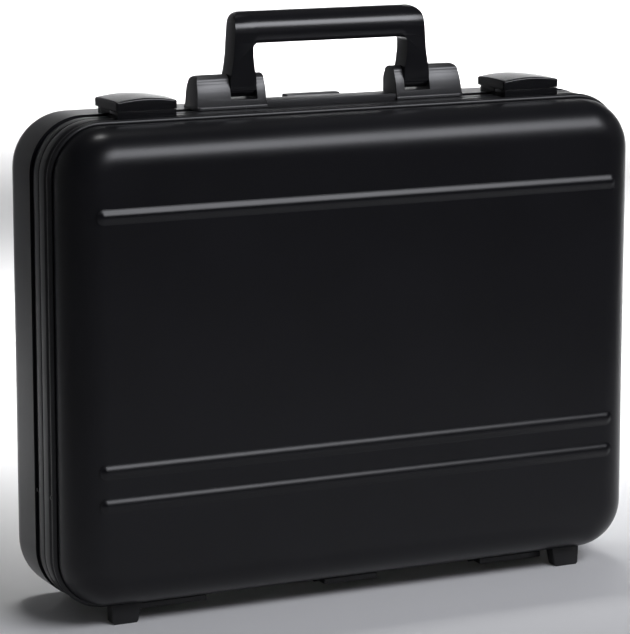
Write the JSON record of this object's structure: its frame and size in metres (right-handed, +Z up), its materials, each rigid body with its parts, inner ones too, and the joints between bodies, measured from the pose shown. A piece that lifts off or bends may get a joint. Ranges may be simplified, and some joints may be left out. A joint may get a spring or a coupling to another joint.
{
  "type": "laptop hard case",
  "caption": "Black hard attache case for a laptop: two moulded shells on hinged metal frames, flip-up latches, folding handle, lid stays and padded laptop and document spaces.",
  "frame": {"origin": "middle of the footprint, on the plane of the undersides of the feet, with the case standing upright and closed", "axes": "+X along the width (to the right seen from the lid side), +Y from the lid (front, shallow half) to the deep rear half, +Z up to the handle"},
  "size_m": [0.461, 0.129, 0.427],
  "materials": {
    "case_shell": "satin moulded, fine grain",
    "case_frame": "black anodised, satin",
    "seal_rubber": "matte",
    "lining_fabric": "short-pile lining",
    "padding_fabric": "padded woven cloth over foam",
    "strap_webbing": "woven webbing",
    "fitting_plastic": "satin black",
    "handle_plastic": "satin black",
    "latch_gloss": "glossy black",
    "pin_steel": "plain steel",
    "spring_steel": "plain spring steel",
    "hinge_metal": "black coating",
    "foot_plastic": "satin black"
  },
  "bodies": {
    "base": {"rear_shell": "case_shell", "rear_frame": "case_frame", "frame_seal": "seal_rubber", "rear_lining": "lining_fabric", "laptop_pad": "padding_fabric", "laptop_bumpers": "padding_fabric", "laptop_strap": "strap_webbing", "strap_buckle": "fitting_plastic", "handle_base_strip": "fitting_plastic", "handle_bracket_left": "fitting_plastic", "handle_bracket_right": "fitting_plastic", "handle_pin_left": "pin_steel", "handle_pin_right": "pin_steel", "handle_rest_pad": "fitting_plastic", "handle_rivets": "pin_steel", "latch_base_left": "fitting_plastic", "latch_base_right": "fitting_plastic", "latch_pin_left": "pin_steel", "latch_pin_right": "pin_steel", "latch_spring_left": "spring_steel", "latch_spring_right": "spring_steel", "latch_rivets_base": "pin_steel", "hinge_base_leaf_left": "hinge_metal", "hinge_base_leaf_middle": "hinge_metal", "hinge_base_leaf_right": "hinge_metal", "hinge_pin_left": "pin_steel", "hinge_pin_middle": "pin_steel", "hinge_pin_right": "pin_steel", "hinge_rivets_base": "hinge_metal", "rear_foot_left": "foot_plastic", "rear_foot_right": "foot_plastic", "foot_screws_rear": "pin_steel", "stay_rivets_base": "pin_steel"},
    "lid": {"front_shell": "case_shell", "front_frame": "case_frame", "front_lining": "lining_fabric", "organizer_panel": "padding_fabric", "document_pocket": "padding_fabric", "latch_keeper_left": "fitting_plastic", "latch_keeper_right": "fitting_plastic", "latch_rivets_lid": "pin_steel", "hinge_lid_leaf_left": "hinge_metal", "hinge_lid_leaf_middle": "hinge_metal", "hinge_lid_leaf_right": "hinge_metal", "hinge_rivets_lid": "hinge_metal", "front_foot_left": "foot_plastic", "front_foot_right": "foot_plastic", "foot_screws_front": "pin_steel", "stay_rivets_lid": "pin_steel"},
    "handle": {"handle_grip": "handle_plastic"},
    "latch_left": {"latch_cap_left": "latch_gloss"},
    "latch_right": {"latch_cap_right": "latch_gloss"},
    "stay_base_left": {"stay_base_link_left": "pin_steel"},
    "stay_base_right": {"stay_base_link_right": "pin_steel"},
    "stay_lid_left": {"stay_lid_link_left": "pin_steel"},
    "stay_lid_right": {"stay_lid_link_right": "pin_steel"}
  },
  "joints": [
    {"name": "lid_hinge", "type": "hinge", "parent": "base", "child": "lid", "pos_m": [0, -0.011, 0.0064], "axis": [1, 0, 0], "range_deg": [0, 100]},
    {"name": "handle_pivot", "type": "hinge", "parent": "base", "child": "handle", "pos_m": [0, 0.004, 0.375], "axis": [1, 0, 0], "range_deg": [-90, 90]},
    {"name": "latch_left_pivot", "type": "hinge", "parent": "base", "child": "latch_left", "pos_m": [-0.154, 0.0104, 0.3675], "axis": [-1, 0, 0], "range_deg": [0, 75]},
    {"name": "latch_right_pivot", "type": "hinge", "parent": "base", "child": "latch_right", "pos_m": [0.154, 0.0104, 0.3675], "axis": [-1, 0, 0], "range_deg": [0, 75]},
    {"name": "stay_base_left_pivot", "type": "hinge", "parent": "base", "child": "stay_base_left", "pos_m": [-0.2188, 0.0023, 0.0934], "axis": [1, 0, 0], "range_deg": [0, 100]},
    {"name": "stay_base_right_pivot", "type": "hinge", "parent": "base", "child": "stay_base_right", "pos_m": [0.2188, 0.0023, 0.0934], "axis": [1, 0, 0], "range_deg": [0, 100]},
    {"name": "stay_lid_left_pivot", "type": "hinge", "parent": "lid", "child": "stay_lid_left", "pos_m": [-0.217, -0.0243, 0.0934], "axis": [1, 0, 0], "range_deg": [-100, 0]},
    {"name": "stay_lid_right_pivot", "type": "hinge", "parent": "lid", "child": "stay_lid_right", "pos_m": [0.217, -0.0243, 0.0934], "axis": [1, 0, 0], "range_deg": [-100, 0]}
  ],
  "couplings": [
    {"joint": "stay_base_left_pivot", "follows": "lid_hinge", "ratio": 1},
    {"joint": "stay_base_right_pivot", "follows": "lid_hinge", "ratio": 1},
    {"joint": "stay_lid_left_pivot", "follows": "lid_hinge", "ratio": -1},
    {"joint": "stay_lid_right_pivot", "follows": "lid_hinge", "ratio": -1}
  ]
}
